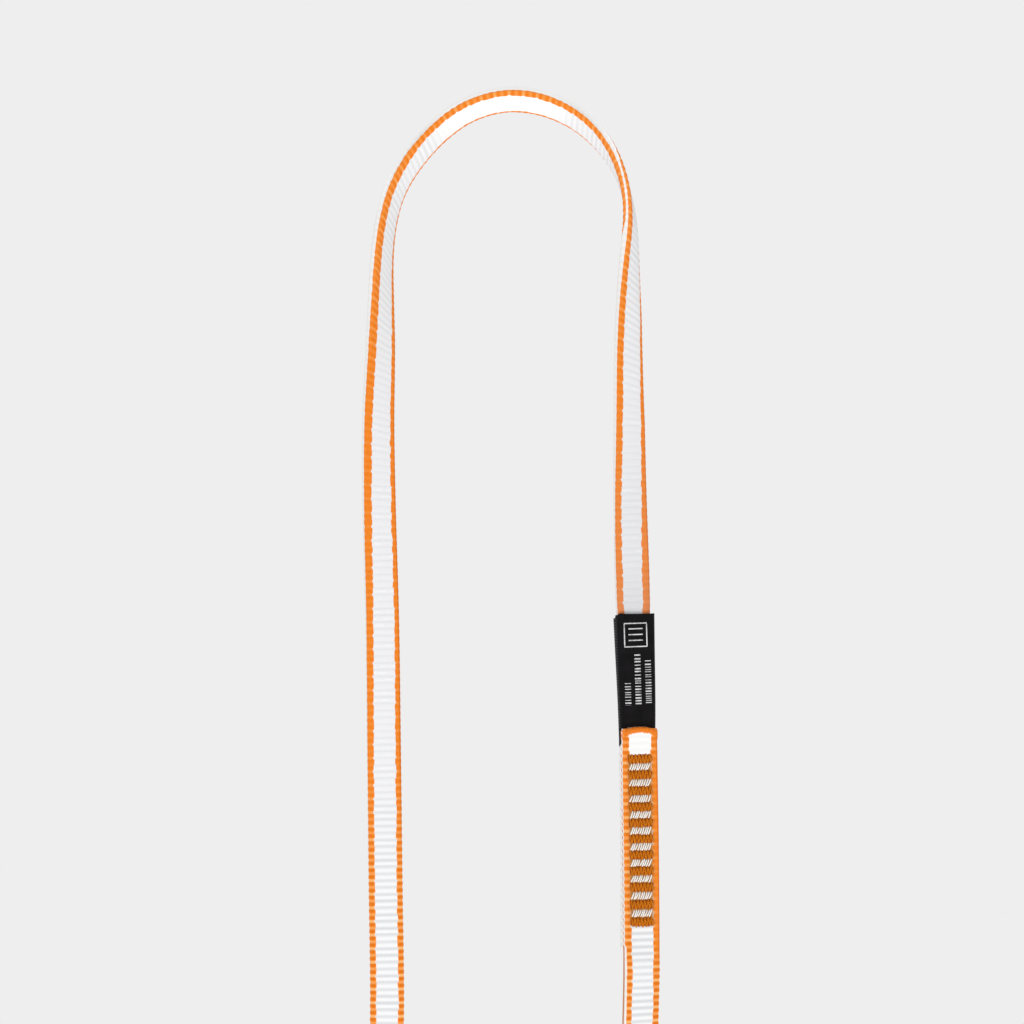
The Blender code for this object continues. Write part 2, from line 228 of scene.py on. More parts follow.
def smoothed(curve):
    """The closed curve with its bends and its roll evened out."""
    reach = round(3 * SMOOTH / STEP)
    shifts = np.arange(-reach, reach + 1)
    bell = np.exp(-0.5 * (shifts * STEP / SMOOTH) ** 2)
    return sum(b * np.roll(curve, k, axis=0) for b, k in zip(bell, shifts)) / bell.sum()


CURVE = loop_curve()
COUNT = len(CURVE)
TOP = int(np.argmax(CURVE[:, 1]))
BOTTOM = int(np.argmin(CURVE[:, 1]))
TO_ORIGIN = np.array([0, math.cos(BEARING_ROLL), math.sin(BEARING_ROLL)]) * TAPE_THICK / 2


def right_leg(depth):
    """The fractional index on the right leg at this depth below the top."""
    index = np.arange(BOTTOM, TOP, -1)
    rising = np.maximum.accumulate(CURVE[index, 1])
    return np.interp(-np.asarray(depth, float), rising, index)


def at(index):
    """x, z and roll at fractional indices."""
    index = np.asarray(index, float)
    low = np.floor(index).astype(int)
    part = (index - low)[..., None]
    return CURVE[low % COUNT] * (1 - part) + CURVE[(low + 1) % COUNT] * part


def frames(index):
    """(middle, along, across, out) of the tape in millimetres, as arrays: across points to the front edge."""
    here = at(index)
    along = at(np.asarray(index, float) + 1) - at(np.asarray(index, float) - 1)
    along = np.stack([along[..., 0], 0 * along[..., 0], along[..., 1]], -1)
    along /= np.linalg.norm(along, axis=-1, keepdims=True)
    outward = np.stack([-along[..., 2], 0 * along[..., 0], along[..., 0]], -1)
    roll = np.radians(here[..., 2])[..., None]
    across = np.cos(roll) * outward + np.sin(roll) * np.array([0, -1.0, 0])
    middle = np.stack([here[..., 0], 0 * here[..., 0], here[..., 1]], -1) + TO_ORIGIN
    return middle, along, across, np.cross(across, along)


def eased(value, start, end):
    """0 before start and 1 after end, with a soft start and stop between them."""
    t = np.clip((np.asarray(value, float) - start) / (end - start), 0, 1)
    return t * t * (3 - 2 * t)


def from_table(table, depth):
    """The table's value at each depth, on straight lines between its rows."""
    known, values = zip(*table)
    return np.interp(depth, known, values)


def tack_depth(number):
    """A tack's middle below the top: the tacks are evenly spaced but for the last ones, which spread out."""
    even = np.minimum(number, TACKS_EVEN) * TACK_PITCH
    return TACK_FIRST + even + np.maximum(number - TACKS_EVEN, 0) * TACK_LAST_PITCH


def place(depth, w, n):
    """Points in millimetres beside the right leg: a depth, and how far across and out from the back layer."""
    middle, _, across, out = frames(right_leg(depth))
    return middle + across * np.asarray(w, float)[..., None] + out * np.asarray(n, float)[..., None]


# ---------------------------------------------------------------- meshes


def mesh_object(name, points, faces, finish, values=None):
    """Points in millimetres become a smooth mesh in metres, with one float attribute for each of values."""
    mesh = bpy.data.meshes.new(name)
    mesh.from_pydata((np.asarray(points) * MM).tolist(), [], faces)
    for key, numbers in (values or {}).items():
        attribute = mesh.attributes.new(key, "FLOAT", "POINT")
        attribute.data.foreach_set("value", np.asarray(numbers, np.float32))
    mesh.validate()
    mesh.shade_smooth()
    mesh.materials.append(finish)
    obj = bpy.data.objects.new(name, mesh)
    bpy.context.scene.collection.objects.link(obj)
    return obj


def grid_faces(rows, columns, wrap=False, start=0):
    """Quads over a grid of points held row by row. Wrap joins the last column to the first."""
    made = []
    last = columns if wrap else columns - 1
    for i in range(rows - 1):
        for j in range(last):
            k = (j + 1) % columns
            a = start + i * columns
            b = a + columns
            made.append((a + j, a + k, b + k, b + j))
    return made


def tube_points(line, radius, sides):
    """Rings of points round a line, with the turn of each point and its distance along."""
    line = np.asarray(line, float)
    step = np.gradient(line, axis=0)
    step /= np.linalg.norm(step, axis=1, keepdims=True)
    side = np.cross(step[0], [0.31, 0.17, 0.93])
    sides_now = []
    for direction in step:
        side = side - direction * (side @ direction)
        side /= np.linalg.norm(side)
        sides_now.append(side)
    first = np.array(sides_now)
    second = np.cross(step, first)
    turn = np.arange(sides) * 2 * math.pi / sides
    radius = np.broadcast_to(radius, len(line))[:, None, None]
    rings = line[:, None] + radius * (
        np.cos(turn)[None, :, None] * first[:, None] + np.sin(turn)[None, :, None] * second[:, None]
    )
    run = np.concatenate([[0], np.cumsum(np.linalg.norm(np.diff(line, axis=0), axis=1))])
    return rings, np.broadcast_to(turn, (len(line), sides)), np.broadcast_to(run[:, None], (len(line), sides))


def threads(name, lines, radius, finish, sides=8, buried=0):
    """One mesh of closed tubes, one along each line. The first few may be buried under the rest."""
    points, faces, turns, runs, deeps = [], [], [], [], []
    count = 0
    for number, line in enumerate(lines):
        rings, turn, run = tube_points(line, radius, sides)
        rows = len(rings)
        points.append(rings.reshape(-1, 3))
        turns.append(turn.ravel())
        runs.append(run.ravel() + number * 7.3)
        deeps.append(np.full(rows * sides, float(number < buried)))
        faces += grid_faces(rows, sides, wrap=True, start=count)
        faces.append(tuple(range(count + sides - 1, count - 1, -1)))
        faces.append(tuple(range(count + (rows - 1) * sides, count + rows * sides)))
        count += rows * sides
    values = {"turn": np.concatenate(turns), "run": np.concatenate(runs), "buried": np.concatenate(deeps)}
    return mesh_object(name, np.concatenate(points), faces, finish, values)


# ---------------------------------------------------------------- materials


class Nodes:
    """A material's node tree, with short ways to add maths."""

    def __init__(self, name):
        self.material = bpy.data.materials.new(name)
        self.material.use_nodes = True
        self.tree = self.material.node_tree
        self.shader = self.tree.nodes["Principled BSDF"]

    def put(self, socket, value):
        if isinstance(value, bpy.types.NodeSocket):
            self.tree.links.new(value, socket)
        else:
            socket.default_value = value

    def node(self, kind, **settings):
        made = self.tree.nodes.new(kind)
        for key, value in settings.items():
            setattr(made, key, value)
        return made

    def value(self, name):
        return self.node("ShaderNodeAttribute", attribute_name=name).outputs["Fac"]

    def maths(self, operation, a, b=0.0, c=0.0):
        made = self.node("ShaderNodeMath", operation=operation)
        for socket, value in zip(made.inputs, (a, b, c)):
            self.put(socket, value)
        return made.outputs[0]

    def square(self, a):
        return self.maths("MULTIPLY", a, a)

    def between(self, value, low, high, to_low=0.0, to_high=1.0):
        made = self.node("ShaderNodeMapRange", interpolation_type="SMOOTHSTEP")
        for socket, number in zip(made.inputs, (value, low, high, to_low, to_high)):
            self.put(socket, number)
        return made.outputs[0]

    def mix(self, share, a, b):
        made = self.node("ShaderNodeMix", data_type="RGBA")
        self.put(made.inputs["Factor"], share)
        for socket, colour in zip(made.inputs[6:8], (a, b)):
            self.put(socket, colour if isinstance(colour, bpy.types.NodeSocket) else (*colour, 1))
        return made.outputs[2]

    def join(self, x, y, z=0.0):
        made = self.node("ShaderNodeCombineXYZ")
        for socket, value in zip(made.inputs, (x, y, z)):
            self.put(socket, value)
        return made.outputs[0]

    def noise(self, where, scale, detail=2.0):
        made = self.node("ShaderNodeTexNoise")
        self.put(made.inputs["Vector"], where)
        made.inputs["Scale"].default_value = scale
        made.inputs["Detail"].default_value = detail
        return made.outputs["Fac"]

    def dice(self, number):
        made = self.node("ShaderNodeTexWhiteNoise", noise_dimensions="1D")
        self.put(made.inputs["W"], number)
        return made.outputs["Value"]

    def wave(self, value, period):
        """A sine from 0 to 1."""
        angle = self.maths("MULTIPLY", value, 2 * math.pi / period)
        return self.maths("MULTIPLY_ADD", self.maths("SINE", angle), 0.5, 0.5)

    def bump(self, height, distance, strength=1.0):
        made = self.node("ShaderNodeBump")
        made.inputs["Strength"].default_value = strength
        made.inputs["Distance"].default_value = distance
        self.put(made.inputs["Height"], height)
        return made.outputs["Normal"]

    def finish(self, colour, roughness, normal=None, **constants):
        self.put(self.shader.inputs["Base Color"], colour)
        self.put(self.shader.inputs["Roughness"], roughness)
        if normal is not None:
            self.put(self.shader.inputs["Normal"], normal)
        for key, value in constants.items():
            self.shader.inputs[key.replace("_", " ")].default_value = value
        return self.material


TAPE_ROUGH = 0.75
BEAD_MIDDLE = 4.05
BEAD_HALF = 0.95
WARP_PITCH = 0.46
WEFT_PITCH = 0.5
CLOTH_PITCH = 0.32

FLAT_WHITE = (0.785, 0.785, 0.80)
# Painted light and shade of the ribs: a highlight colour for the crests and a shade colour for the valleys.
CREST_HIGHLIGHT = (0.86, 0.86, 0.86)
VALLEY_SHADE = (0.61, 0.62, 0.635)
# Painted highlight: the brightest white, over the top and on the patch above the first tack.
HIGHLIGHT_WHITE = (0.89, 0.89, 0.88)
ORANGE = (0.845, 0.225, 0.018)
DEEP_ORANGE = (0.64, 0.145, 0.006)
PALE_ORANGE = (0.93, 0.47, 0.17)
SELVEDGE_WHITE = (0.82, 0.815, 0.80)
# Painted highlight: the selvedge over the top.
SELVEDGE_HIGHLIGHT = (0.97, 0.97, 0.96)
BLACK = (0.0035, 0.003, 0.0035)
WORN_BLACK = (0.007, 0.006, 0.007)
FLANGE_GREY = (0.03, 0.031, 0.034)
INK = (0.70, 0.70, 0.70)
WORN_INK = (0.36, 0.36, 0.37)
SHADE = (0.25, 0.25, 0.26)
SEWN_SHADE = (0.42, 0.19, 0.05)


def tape_material():
    """White ribs between two beaded orange stripes, with a pale selvedge down the middle of each edge."""
    n = Nodes("ribbed_tape")
    s = n.value("tape_s")
    w = n.value("tape_w")
    depth = n.value("tape_n")
    bold = n.value("tape_bold")
    edge = n.maths("ABSOLUTE", w)
    ribs = n.maths("DIVIDE", s, RIB)
    number = n.maths("FLOOR", ribs)
    in_rib = n.maths("SUBTRACT", ribs, number)
    from_crest = n.maths("ABSOLUTE", n.maths("SUBTRACT", in_rib, 0.5))
    luck = n.dice(n.maths("ADD", number, 0.5))
    fleck = n.noise(n.join(n.maths("MULTIPLY", w, 1.6), s), 1.1, 4.0)
    streak = n.noise(n.join(n.maths("MULTIPLY", w, 0.45), n.maths("MULTIPLY", s, 1.4)), 1.0, 3.0)
    # White: flat, with a painted highlight in a thin line on some of the rib crests and soft painted shade in some
    # valleys, or boldly ribbed, with painted highlights on the crests and painted shade in the valleys.
    line = n.maths("MULTIPLY", n.between(from_crest, 0.16, 0.05), n.between(luck, 0.45, 0.8))
    line = n.maths("MULTIPLY", line, n.between(streak, 0.42, 0.60))
    soft = n.maths("MULTIPLY", n.between(from_crest, 0.30, 0.5), n.maths("MULTIPLY_ADD", luck, 0.35, 0.05))
    flat = n.mix(soft, FLAT_WHITE, VALLEY_SHADE)
    flat = n.mix(line, flat, CREST_HIGHLIGHT)
    shaded_valley = n.between(n.maths("MULTIPLY_ADD", fleck, 0.10, from_crest), 0.12, 0.50)
    shaded_valley = n.maths("MULTIPLY", shaded_valley, n.maths("MULTIPLY_ADD", luck, 0.4, 0.6))
    ribbed = n.mix(shaded_valley, CREST_HIGHLIGHT, VALLEY_SHADE)
    white = n.mix(n.maths("MULTIPLY", bold, 0.8), flat, ribbed)
    # Painted highlight: the white is painted brighter over the top and on the patch above the first tack.
    white = n.mix(n.value("tape_highlight"), white, HIGHLIGHT_WHITE)
    # Orange: a bead on each rib, pale between beads, and paler at each second gap.
    half = n.maths("FRACT", n.maths("MULTIPLY", n.maths("FLOOR", n.maths("ADD", ribs, 0.5)), 0.5))
    gap = n.between(n.maths("MULTIPLY_ADD", fleck, 0.2, from_crest), 0.28, 0.52)
    gap = n.maths("MULTIPLY", gap, n.maths("MULTIPLY_ADD", half, 0.9, 0.45))
    off_middle = n.maths("DIVIDE", n.maths("SUBTRACT", edge, BEAD_MIDDLE), BEAD_HALF)
    round_bead = n.maths("SQRT", n.maths("ADD", n.square(off_middle), n.square(n.maths("MULTIPLY", from_crest, 2.1))))
    core = n.between(n.maths("MULTIPLY_ADD", fleck, 0.5, round_bead), 1.15, 0.45)
    mottle = n.between(fleck, 0.40, 0.72)
    orange = n.mix(n.maths("MULTIPLY", mottle, 0.45), ORANGE, DEEP_ORANGE)
    beaded = n.maths("MAXIMUM", bold, n.maths("MULTIPLY", n.value("tape_highlight"), 0.55))
    orange = n.mix(n.maths("MULTIPLY", core, n.maths("MULTIPLY", beaded, 0.7)), orange, DEEP_ORANGE)
    rim_glow = n.maths("MULTIPLY", n.between(round_bead, 0.75, 1.25), n.maths("MULTIPLY", beaded, 0.5))
    pale = n.maths("MAXIMUM", rim_glow, n.maths("MULTIPLY", gap, n.maths("MULTIPLY_ADD", beaded, 0.9, 0.10)))
    orange = n.mix(pale, orange, PALE_ORANGE)
    # Painted shade: the far edge is painted a deeper orange, less so where the ribs are bold.
    far_edge_shade = n.between(w, -EDGE_FLAT, -EDGE_FLAT - 0.2, 0.0, 0.75)
    orange = n.mix(n.maths("MULTIPLY", far_edge_shade, n.maths("SUBTRACT", 1.0, bold)), orange, DEEP_ORANGE)
    # The stripe's inner border steps in and out with the ribs, and differs on the two edges.
    side = n.maths("GREATER_THAN", w, 0.0)
    notch = n.maths("MULTIPLY", n.maths("MULTIPLY", gap, half), n.maths("MULTIPLY_ADD", side, 0.25, 0.35))
    jog = n.maths("MULTIPLY_ADD", luck, n.maths("MULTIPLY_ADD", side, -0.15, 0.35), -0.12)
    border = n.maths("ADD", n.maths("ADD", notch, jog), STRIPE_FROM)
    border = n.maths("ADD", border, n.maths("MULTIPLY_ADD", fleck, 0.4, -0.2))
    stripe = n.between(n.maths("SUBTRACT", edge, border), -0.08, 0.08)
    colour = n.mix(stripe, white, orange)
    # Between the tacks the weave is pressed down and lies in shade.
    colour = n.mix(n.value("tape_sewn_shade"), colour, SEWN_SHADE)
    colour = n.mix(n.value("tape_shade"), colour, SHADE)
    # The selvedge: the middle of the tape's edge, with a ragged border and a few orange flecks.
    rim = n.value("tape_rim")
    hidden = n.between(rim, 0.9, HIDDEN_RIM)
    rough = n.between(rim, 0.9, 1.1, 0.7, 0.3)
    ragged = n.maths("ADD", rim, n.maths("MULTIPLY", n.maths("SUBTRACT", fleck, 0.5), rough))
    inside = n.between(n.maths("SUBTRACT", ragged, n.maths("ABSOLUTE", depth)), -0.08, 0.08)
    speck = n.between(n.noise(n.join(s, depth), 2.2, 2.0), 0.66, 0.72)
    # Painted highlight: the selvedge is painted brighter over the top and on the patch above the first tack.
    selvedge = n.mix(n.value("tape_highlight"), SELVEDGE_WHITE, SELVEDGE_HIGHLIGHT)
    selvedge = n.mix(n.maths("MULTIPLY", speck, 0.7), selvedge, ORANGE)
    beyond = n.maths("MULTIPLY_ADD", hidden, 0.75, edge)
    on_edge = n.maths("MULTIPLY", n.between(beyond, EDGE_FLAT + 0.25, EDGE_FLAT + 0.45), inside)
    colour = n.mix(on_edge, colour, selvedge)
    # Fine warp ends, seen as relief.
    warp = n.wave(n.maths("ADD", w, n.maths("MULTIPLY", luck, 0.05)), WARP_PITCH)
    weft = n.wave(n.maths("ADD", s, n.maths("MULTIPLY", w, 0.4)), WEFT_PITCH)
    height = n.maths("ADD", n.maths("ADD", warp, n.maths("MULTIPLY", weft, 0.5)), streak)
    return n.finish(colour, TAPE_ROUGH, n.bump(height, 0.00004, 0.5), Specular_IOR_Level=0.06, Sheen_Weight=0.04)


def thread_material(name, light, dark, twist=0.9, roughness=0.6):
    """Twisted thread: plies that wind round it, with painted shade between them and over the whole of a buried pass,
    mixed with random flecks of the darker colour.
    """
    n = Nodes(name)
    run = n.value("run")
    turn = n.value("turn")
    wound = n.maths("ADD", n.maths("MULTIPLY", run, 2 * math.pi / twist), turn)
    ply = n.maths("MULTIPLY_ADD", n.maths("SINE", n.maths("MULTIPLY", wound, 2.0)), 0.5, 0.5)
    fleck = n.noise(n.join(run, turn), 1.3, 3.0)
    share = n.maths("MULTIPLY_ADD", ply, -0.6, n.maths("MULTIPLY_ADD", fleck, 0.9, 0.3))
    share = n.maths("MAXIMUM", n.between(share, 0.1, 0.9), n.value("buried"))
    # The dark colour is painted shade in the grooves between plies and on a buried pass, partly broken by random
    # flecks.
    colour = n.mix(share, light, dark)
    return n.finish(colour, roughness, n.bump(ply, 0.00006, 0.8), Specular_IOR_Level=0.08)


def sleeve_material():
    """Black coated fabric: a fine plain weave that shows in its gloss."""
    n = Nodes("black_coated_fabric")
    u = n.value("cloth_u")
    v = n.value("cloth_v")
    weave = n.maths("MULTIPLY", n.wave(u, CLOTH_PITCH), n.wave(v, CLOTH_PITCH))
    cloud = n.noise(n.join(u, v), 0.35, 4.0)
    rough = n.maths("MULTIPLY_ADD", cloud, 0.18, 0.40)
    flange = n.between(u, 1.6, 0.9)
    colour = n.mix(n.between(cloud, 0.3, 0.75), BLACK, WORN_BLACK)
    colour = n.mix(n.maths("MULTIPLY", flange, 0.6), colour, FLANGE_GREY)
    height = n.maths("ADD", weave, n.maths("MULTIPLY", cloud, 2.0))
    return n.finish(colour, rough, n.bump(height, 0.00004, 0.5), Specular_IOR_Level=0.08)


def print_material():
    """Pale ink, worn thin in places."""
    n = Nodes("pale_print")
    where = n.node("ShaderNodeTexCoord").outputs["Object"]
    worn = n.noise(where, 900.0, 4.0)
    colour = n.mix(n.between(worn, 0.42, 0.72), INK, WORN_INK)
    return n.finish(colour, 0.55, n.bump(worn, 0.00002, 0.4))


# ---------------------------------------------------------------- the tape


def tape_section():
    """Points round the tape's section, as (across, out) at half thickness 1, with full, rounded edges."""
    face = np.array([1, 0.87, 0.74, 0.62, 0.31, 0, -0.31, -0.62, -0.74, -0.87, -1]) * EDGE_FLAT
    bend = np.radians([25, 50, 72, 90, 108, 130, 155])
    reach = TAPE_WIDTH / 2 - EDGE_FLAT
    swell = reach * np.sin(bend) ** (2 / 3)
    lift = np.sign(np.cos(bend)) * np.abs(np.cos(bend)) ** (2 / 3)
    front = [(a, 1.0) for a in face]
    far_edge = [(-EDGE_FLAT - x, z) for x, z in zip(swell, lift)]
    back = [(a, -1.0) for a in face[::-1]]
    near_edge = [(EDGE_FLAT + x, -z) for x, z in zip(swell, lift)]
    return np.array(front + far_edge + back + near_edge)


def strip_indices():
    """Places along the whole strip, from the front cut end round the loop to the back cut end."""
    start = right_leg(FRONT_END)
    end = right_leg(BACK_END) + COUNT
    fine = np.linspace(start, end, 6 * COUNT)
    here = at(fine)[:, :2]
    run = np.concatenate([[0], np.cumsum(np.hypot(*np.diff(here, axis=0).T))])
    length = run[-1]
    rings = int(length / RIB * RINGS_PER_RIB)
    runs = np.linspace(0, length, rings + 1)
    return np.interp(runs, run, fine), runs


class Strip:
    """The whole strip of tape, ring by ring from its front cut end to its back one, round one section."""

    def __init__(self):
        self.w, self.n = tape_section().T
        self.index, self.run = strip_indices()
        self.depth = depth = -at(self.index)[:, 1]
        self.first_pass = self.index < BOTTOM
        self.after_top = (self.index - TOP - COUNT) * STEP
        self.left = ~self.first_pass & (self.after_top < 0)
        on_right = self.first_pass | (self.index > TOP + COUNT)
        sewn_below = eased(depth, SEWN[0] - SEWN_EASE, SEWN[0])
        self.sewn = sewn_below * (1 - eased(depth, SEWN[1], SEWN[1] + SEWN_EASE)) * on_right
        self.tail = self.first_pass * (depth > BACK_END - 1) * (1 - eased(depth, *TAIL_FADE))
        # Where the tacks are, from 0 at the first to one less than their number at the last.
        numbers = np.arange(-1, TACKS + 1)
        phase = np.interp(depth, tack_depth(numbers), numbers)
        self.stitched = self.sewn * (phase > -0.2) * (phase < TACKS - 0.8)
        self.at_tack = self.stitched * (0.5 + 0.5 * np.cos(2 * math.pi * phase))
        self.under_tack = 1 - eased(np.abs(self.w - TACK_OFFSET), 3.0, 3.7)
        # How the weave lies: the ribs lean, stand out more or less, and are pressed smooth beside the stitches.
        lean = self.by_leg(0, LEAN_LEFT, LEAN_RIGHT)
        self.seen_run = self.run[:, None] - lean[:, None] * self.w
        pressed = self.sewn[:, None] * (self.w < -STRIPE_FROM)
        self.smooth = PRESSED * pressed + PRESSED * np.outer(self.tail, self.w > EDGE_FLAT + 0.4)
        bold = np.where(self.left, from_table(BOLD_LEFT, depth), from_table(BOLD_RIGHT, depth))
        self.bold = bold[:, None] * (1 - self.smooth)

    def by_leg(self, front, left, right):
        """A number for each ring from the tables of the left and right legs, and this one in the front layer."""
        back = np.where(self.left, from_table(left, self.depth), from_table(right, self.depth))
        return np.where(self.first_pass, front, back)


def tape_points(strip):
    """The middle of each ring and the points round it, in millimetres."""
    middle, _, across, out = frames(strip.index)
    stacked = np.where(strip.first_pass, 1 - eased(strip.depth, *TAIL_EASE), 0.0)
    middle = middle + (out * FRONT_LIFT + across * FRONT_SHIFT) * stacked[:, None]
    back_wide = np.where(strip.left, 1.0, from_table(WIDE_BACK, strip.depth))
    wide = np.where(strip.first_pass, from_table(WIDE_FRONT, strip.depth), back_wide)
    thick = TAPE_THICK + (SEWN_THICK + SEWN_SWELL - TAPE_THICK) * strip.sewn
    w = strip.w * wide[:, None]
    n = strip.n * thick[:, None] / 2
    # Ribs across both faces, and beads along the edges.
    on_stripe = eased(np.abs(strip.w), STRIPE_FROM - 0.2, STRIPE_FROM + 0.4)
    shown = (LEAST_RELIEF + (1 - LEAST_RELIEF) * strip.bold) * (1 - strip.smooth)
    relief = -np.cos(2 * math.pi * strip.seen_run / RIB) * (RELIEF + STRIPE_RELIEF * on_stripe) * shown
    edge = np.clip((np.abs(strip.w) - EDGE_FLAT) / (TAPE_WIDTH / 2 - EDGE_FLAT), 0, 1)
    # The stitches draw the faces in at each tack. Elsewhere the tape is fuller in its middle.
    pull = strip.at_tack[:, None] * strip.under_tack
    crown = CROWN * (1 - (strip.w / EDGE_FLAT) ** 2).clip(0, 1) * (1 - strip.sewn[:, None])
    n = n + np.sign(strip.n) * (1 - edge**2) * (relief * (1 - 0.5 * pull) - STITCH_PULL * pull + crown)
    w = w + np.sign(strip.w) * edge * relief * BEAD_RELIEF
    # Round the top the far edge curls away, on the side that the tape's roll gives.
    far = np.clip(-strip.w - CURL_FROM, 0, None)
    curl = strip.by_leg(0, CURL_LEFT, CURL_RIGHT)
    turned = np.tanh((90 - at(strip.index)[:, 2]) / 12)
    n = n + (curl * turned)[:, None] * far**2
    w = w + (0.6 * curl)[:, None] * eased(far, 1, 4) * far
    return middle, middle[:, None] + across[:, None] * w[..., None] + out[:, None] * n[..., None]


def tape_looks(strip):
    """The numbers that the tape's material reads at each point, by name."""
    depth, after_top, first_pass, left = strip.depth, strip.after_top, strip.first_pass, strip.left
    near_edge = strip.w > 0
    outer = near_edge & (strip.n > 0)
    inner = near_edge & (strip.n < 0)
    rounded = strip.w > EDGE_FLAT + 0.01
    # The half width of the pale selvedge in the near edge. On some stretches one side of it isn't orange at all.
    over = np.where(first_pass, 0, 1 - eased(after_top, 26, 42))
    under = eased(after_top, 54, 62) * (after_top < 150)
    shoulder = eased(depth, 12, 18) * (1 - eased(depth, 60, 110)) * ~first_pass
    plain = SELVEDGE + (SHOULDER_RIM - SELVEDGE) * shoulder
    rim = plain[:, None] + (HIDDEN_RIM - plain)[:, None] * (np.outer(over, outer) + np.outer(under, inner))
    for side, value in zip((inner, outer), TAIL_RIM):
        rim += np.outer(strip.tail, side) * (value - rim)
    rim[np.ix_((after_top > 100) & (depth > SEWN[0] - 3), near_edge)] = SPLICE_RIM
    # Painted highlight: the white is painted brightest over the top and on the patch above the first tack, where the
    # tape turns towards the light; over the top the outer side of the selvedge is painted brighter too.
    highlight = np.where(left, 1 - eased(depth, 5, 13), 1 - eased(depth, 1, 6)) * ~first_pass
    highlight = np.where(first_pass & (depth < TACK_FIRST), PATCH_HIGHLIGHT, highlight)
    highlight = np.repeat(highlight[:, None], len(strip.w), axis=1)
    top = np.where(left, 1 - eased(depth, 22, 40), 1 - eased(depth, 14, 26)) * ~first_pass
    highlight[:, outer & rounded] = top[:, None]
    more_right = np.where(first_pass, from_table(MORE_TAIL, depth), from_table(MORE_RIGHT, depth))
    more = np.where(left, from_table(MORE_LEFT, depth), -more_right)[:, None]
    more = more * (strip.w * more > 0) * (1 - eased(np.abs(strip.w), 3.7, 4.3))
    # Shade: under and beside the tacks, into the sleeve, and along the tail's hidden side.
    tack_end = (strip.w < -2.9) * (1 - eased(-strip.w, 3.3, 3.9))
    beside = TACK_END_SHADE * np.outer(strip.at_tack**2, tack_end)
    shade = from_table(SHADE_RIGHT, depth) * (after_top > 60)
    return {
        "tape_s": strip.seen_run,
        "tape_w": strip.w + more,
        "tape_n": strip.n * TAPE_THICK / 2,
        "tape_bold": strip.bold,
        "tape_rim": rim,
        "tape_highlight": highlight,
        "tape_sewn_shade": np.maximum(strip.stitched[:, None] * strip.under_tack, beside),
        "tape_shade": shade[:, None] + TAIL_SHADE * np.outer(strip.tail, inner & rounded),
    }


def make_tape(finish):
    """The whole strip as one closed mesh, bent at the fold."""
    strip = Strip()
    middle, points = tape_points(strip)
    rows, columns = points.shape[:2]
    faces = grid_faces(rows, columns, wrap=True)
    faces.append(tuple(range(columns - 1, -1, -1)))
    faces.append(tuple(range((rows - 1) * columns, rows * columns)))
    values = {key: np.broadcast_to(number, (rows, columns)).ravel() for key, number in tape_looks(strip).items()}
    tape = mesh_object("webbing", points.reshape(-1, 3), faces, finish, values)
    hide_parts("webbing_top", "webbing_front_tail", "webbing_bottom")
    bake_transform(tape)


# ---------------------------------------------------------------- the splice

SEWN_HALF = (SEWN_THICK + SEWN_SWELL) / 2
BACK_FACE = -SEWN_HALF
FRONT_FACE = FRONT_LIFT + SEWN_HALF
STITCH_SUNK = 0.32
TACK_LOOSE = 0.07
TACK_RAGGED = 0.25
FLOATS = 9
FLOAT_SPREAD = 2.75
FLOAT_OFFSET = 0.10
FLOAT_RADIUS = 0.235
FLOAT_RISE = 0.42
FLOAT_SUNK = 0.26
FLOAT_REACH = 1.02
FLOAT_LEAN = 0.42
FRONT_WHIPPING_HALF = 5.25
BACK_WHIPPING_HALF = 4.7
WHIPPING_THREADS = 28
WHIPPING_RADIUS = 0.22
WHIPPING_REACH = 1.2
WHIPPING_TURN = (0.3, 0.7)


def stitch_line(depths, w, face, side, rise):
    """A zigzag of stitches that stands up from the face and goes down into it at each turn."""
    line = []
    turns = list(zip(depths, w))
    for (d0, w0), (d1, w1) in zip(turns, turns[1:]):
        t = np.linspace(0, 1, 7)[:-1]
        height = rise * np.sin(math.pi * t) ** 0.5 - STITCH_SUNK
        line.append(np.stack([d0 + (d1 - d0) * t, w0 + (w1 - w0) * t, face + side * height], -1))
    line = np.concatenate(line)
    return place(line[:, 0], line[:, 1], line[:, 2])


def make_tack(name, number, face, side, finish):
    """A bar tack's thread: a close zigzag across the tape, over a buried first pass."""
    dice = np.random.default_rng(100 + number * 2 + (side > 0))
    middle = tack_depth(number)
    centre = FRONT_SHIFT + TACK_OFFSET
    lines = []
    for count, half, rise in ((2 * TACK_THREADS, TACK_TALL / 2 - 0.15, 0.36), (TACK_THREADS, TACK_TALL / 2, 0.58)):
        steps = count + 1
        w = centre + np.linspace(TACK_WIDE / 2, -TACK_WIDE / 2, steps) + dice.uniform(-TACK_LOOSE, TACK_LOOSE, steps)
        ends = np.where(np.arange(steps) % 2 == 0, -half, half) + dice.uniform(-TACK_RAGGED, TACK_RAGGED, steps)
        lines.append(stitch_line(middle + ends, w, face, side, rise))
    # The buried first pass is painted in shade.
    tack = threads(name, lines, THREAD, finish, buried=1)
    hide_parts(name)
    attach(tack, "upper_loop")


def make_floats(name, face, side, finish):
    """White yarns of the tape that stand up between two tacks, each leaning the same way."""
    dice = np.random.default_rng(7 + (side > 0))
    centre = FRONT_SHIFT + TACK_OFFSET + FLOAT_OFFSET
    lines = []
    for number in range(TACKS - 1):
        middle = tack_depth(number + 0.5)
        for w in centre + np.linspace(-FLOAT_SPREAD, FLOAT_SPREAD, FLOATS):
            reach = FLOAT_REACH + dice.uniform(-0.15, 0.2)
            lean = FLOAT_LEAN + dice.uniform(-0.12, 0.12)
            t = np.linspace(-1, 1, 8)
            rise = FLOAT_RISE * np.sqrt(np.clip(1 - t**2, 0, 1)) - FLOAT_SUNK + dice.uniform(-0.06, 0.06)
            here = w + dice.uniform(-0.09, 0.09)
            lines.append(place(middle + reach * t, here + lean * t, face + side * rise))
    floats = threads(name, lines, FLOAT_RADIUS, finish, sides=7)
    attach(floats, "upper_loop")


